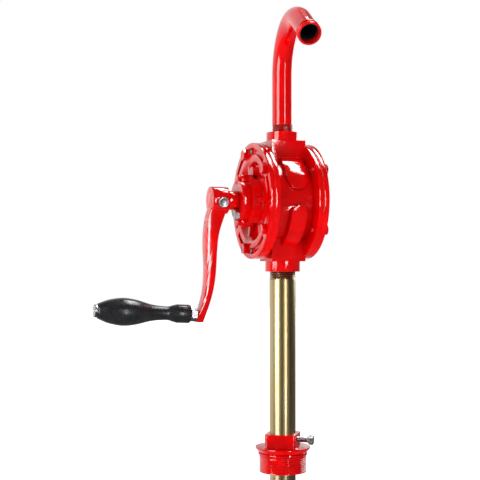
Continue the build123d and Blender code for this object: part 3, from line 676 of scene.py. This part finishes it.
def make_clamp_screw():
    """Screw in the adapter's neck that holds the suction tube."""
    outward = Vector((math.cos(CLAMP_TURN), math.sin(CLAMP_TURN), 0))
    seat = outward * CLAMP_SEAT + Vector((0, 0, CLAMP_Z))
    length = CLAMP_SEAT - CLAMP_TIP
    make_screw("clamp_screw", "clamp_screw", seat, outward, CLAMP_HEAD, length)


def make_spindle_nut():
    """Nut between the crank arm and the grip."""
    mesh = bmesh.new()
    hex_head(mesh, handle_matrix(), *NUT, bore=NUT_BORE)
    new_piece("spindle_nut_chamfered", mesh, "crank", "spindle_nut", "zinc_plate", "zinc_plate")


# ---------------------------------------------------------------- CAD nodes that stay
def soften(node, width, material):
    """Gives a CAD node a material and rounded edges, without changing its own mesh."""
    piece = frame["nodes"][node]
    piece.data.materials.clear()
    piece.data.materials.append(MATERIALS[material])
    piece.data.polygons.foreach_set("material_index", [0] * len(piece.data.polygons))
    piece.data.polygons.foreach_set("use_smooth", [True] * len(piece.data.polygons))
    weld = piece.modifiers.new("weld", "WELD")
    weld.merge_threshold = WELD_GAP
    flat = piece.modifiers.new("flat", "DECIMATE")
    flat.decimate_type = "DISSOLVE"
    flat.angle_limit = FLAT_ANGLE
    if width > 0:
        bevel = piece.modifiers.new("bevel", "BEVEL")
        bevel.width = width
        bevel.segments = 3
        bevel.limit_method = "ANGLE"
        bevel.angle_limit = BEVEL_ANGLE
        bevel.harden_normals = True
        bevel.use_clamp_overlap = True


# painted parts and their edge radius: the gaskets' rims and the shaft's end are painted over
CASTINGS = {"housing": 0.0009, "front_cover": 0.0006, "rear_cover": 0.0007, "gland_cap": 0.0008,
            "bung_adapter": 0.0009, "crank_arm": 0.0016, "spacer_sleeve": 0.0006,
            "gland_bolts": 0.0004, "front_gasket": 0.0, "rear_gasket": 0.0, "drive_shaft": 0.0006}
ZINC_PARTS = {"front_cover_dowels": 0.0005, "handle_spindle": 0.0004}


def finish_cad_nodes():
    """Finishes every CAD node that no piece replaces. Hidden ones take their slot's own material."""
    for node, width in CASTINGS.items():
        soften(node, width, "red_casting")
    for node, width in ZINC_PARTS.items():
        soften(node, width, "zinc_plate")
    slots = {row["node"]: row["material_slot"] for row in frame["record"]["subparts"]}
    for node, slot in slots.items():
        if node not in CASTINGS and node not in ZINC_PARTS and not frame["nodes"][node].hide_render:
            soften(node, HIDDEN_BEVEL, slot)


# ---------------------------------------------------------------- studio
def area_light(name, place, target, size_x, size_y, power):
    """Soft box that lights the object and shows in reflections, but not to the camera."""
    data = bpy.data.lights.new(name, "AREA")
    data.shape = "RECTANGLE"
    data.size, data.size_y = size_x, size_y
    data.energy = power
    light = bpy.data.objects.new(name, data)
    light.location = place
    light.rotation_mode = "QUATERNION"
    light.rotation_quaternion = (Vector(target) - Vector(place)).to_track_quat("-Z", "Y")
    light.visible_camera = False
    bpy.context.scene.collection.objects.link(light)
    return light


def make_world():
    """White background. In reflections it is white only behind the object and dark in front."""
    world = bpy.data.worlds.new("studio")
    bpy.context.scene.world = world
    world.use_nodes = True
    tree = world.node_tree
    tree.nodes.clear()
    output = tree.nodes.new("ShaderNodeOutputWorld")
    mix = tree.nodes.new("ShaderNodeMixShader")
    seen = tree.nodes.new("ShaderNodeBackground")
    seen.inputs["Color"].default_value = (1, 1, 1, 1)
    lit = tree.nodes.new("ShaderNodeBackground")
    rays = tree.nodes.new("ShaderNodeLightPath")
    place = tree.nodes.new("ShaderNodeTexCoord")
    frontness = tree.nodes.new("ShaderNodeVectorMath")
    frontness.operation = "DOT_PRODUCT"
    frontness.inputs[1].default_value = (0.36, -0.93, -0.1)
    ramp = tree.nodes.new("ShaderNodeValToRGB")
    stops = [(0.0, 0.9), (0.15, 0.75), (0.24, 0.14), (0.6, 0.06)]
    while len(ramp.color_ramp.elements) < len(stops):
        ramp.color_ramp.elements.new(0.5)
    for element, (position, level) in zip(ramp.color_ramp.elements, stops):
        element.position = position
        element.color = (level, level, level, 1)
    half = tree.nodes.new("ShaderNodeMapRange")
    half.inputs["From Min"].default_value = -1
    half.inputs["From Max"].default_value = 1
    tree.links.new(place.outputs["Generated"], frontness.inputs[0])
    tree.links.new(frontness.outputs["Value"], half.inputs["Value"])
    tree.links.new(half.outputs["Result"], ramp.inputs["Fac"])
    tree.links.new(ramp.outputs["Color"], lit.inputs["Color"])
    tree.links.new(rays.outputs["Is Camera Ray"], mix.inputs["Fac"])
    tree.links.new(lit.outputs["Background"], mix.inputs[1])
    tree.links.new(seen.outputs["Background"], mix.inputs[2])
    tree.links.new(mix.outputs["Shader"], output.inputs["Surface"])


def make_studio():
    """World, lights and white floor."""
    make_world()
    # overhead box for the flange rims, left wall and front strip for the upright pipes
    area_light("overhead", (0.42, 0.10, 1.55), (0, 0, 0.33), 1.0, 0.36, 17)
    area_light("left_wall", (-1.5, -0.5, 0.45), (0, 0, 0.3), 0.8, 1.4, 23)
    area_light("front_strip", (0.22, -1.9, 0.25), (0, 0, 0.3), 0.12, 1.1, 9)
    fill = area_light("fill", (-0.7, -1.9, 1.3), (0, 0, 0.3), 1.0, 1.0, 21)
    fill.visible_glossy = False
    area_light("back_fill", (1.7, 0.9, 0.9), (0, 0, 0.2), 1.4, 1.4, 26)
    floor_z = cad_low.z - FLOOR_GAP
    bpy.ops.mesh.primitive_plane_add(size=FLOOR_SIZE, location=(0, 0, floor_z))
    floor = bpy.context.object
    floor.name = "studio_floor"
    made = Nodes("floor_paint")
    colour = made.ramp(made.noise(1.5, 2.0), [(0.3, (0.93, 0.93, 0.93)), (0.7, (0.96, 0.96, 0.96))])
    made.join(colour, made.shader.inputs["Emission Color"])
    floor.data.materials.append(made.finish(colour, Roughness=0.7, Emission_Strength=1.2))
    floor.visible_glossy = False
    bpy.context.scene.view_settings.view_transform = "Standard"


def make_camera():
    """Camera fitted to the photograph's view."""
    data = bpy.data.cameras.new("camera")
    data.lens = CAMERA_LENS
    camera = bpy.data.objects.new("camera", data)
    bpy.context.scene.collection.objects.link(camera)
    bpy.context.scene.camera = camera
    back = Vector((math.sin(CAMERA_AZIMUTH), -math.cos(CAMERA_AZIMUTH), 0))
    camera.location = back * CAMERA_DISTANCE + Vector((0, 0, CAMERA_HEIGHT))
    level = Matrix.Rotation(CAMERA_TURN, 3, "Z") @ -back
    forward = level * math.cos(CAMERA_PITCH) + Vector((0, 0, math.sin(CAMERA_PITCH)))
    camera.rotation_mode = "QUATERNION"
    camera.rotation_quaternion = forward.to_track_quat("-Z", "Y")
    data.clip_end = 100


make_spout()
make_suction_tube()
make_couplings()
make_bung_thread()
make_grip()
make_cover_bolts()
make_gland_screw()
make_set_bolt()
make_clamp_screw()
make_spindle_nut()
finish_cad_nodes()
make_studio()
make_camera()
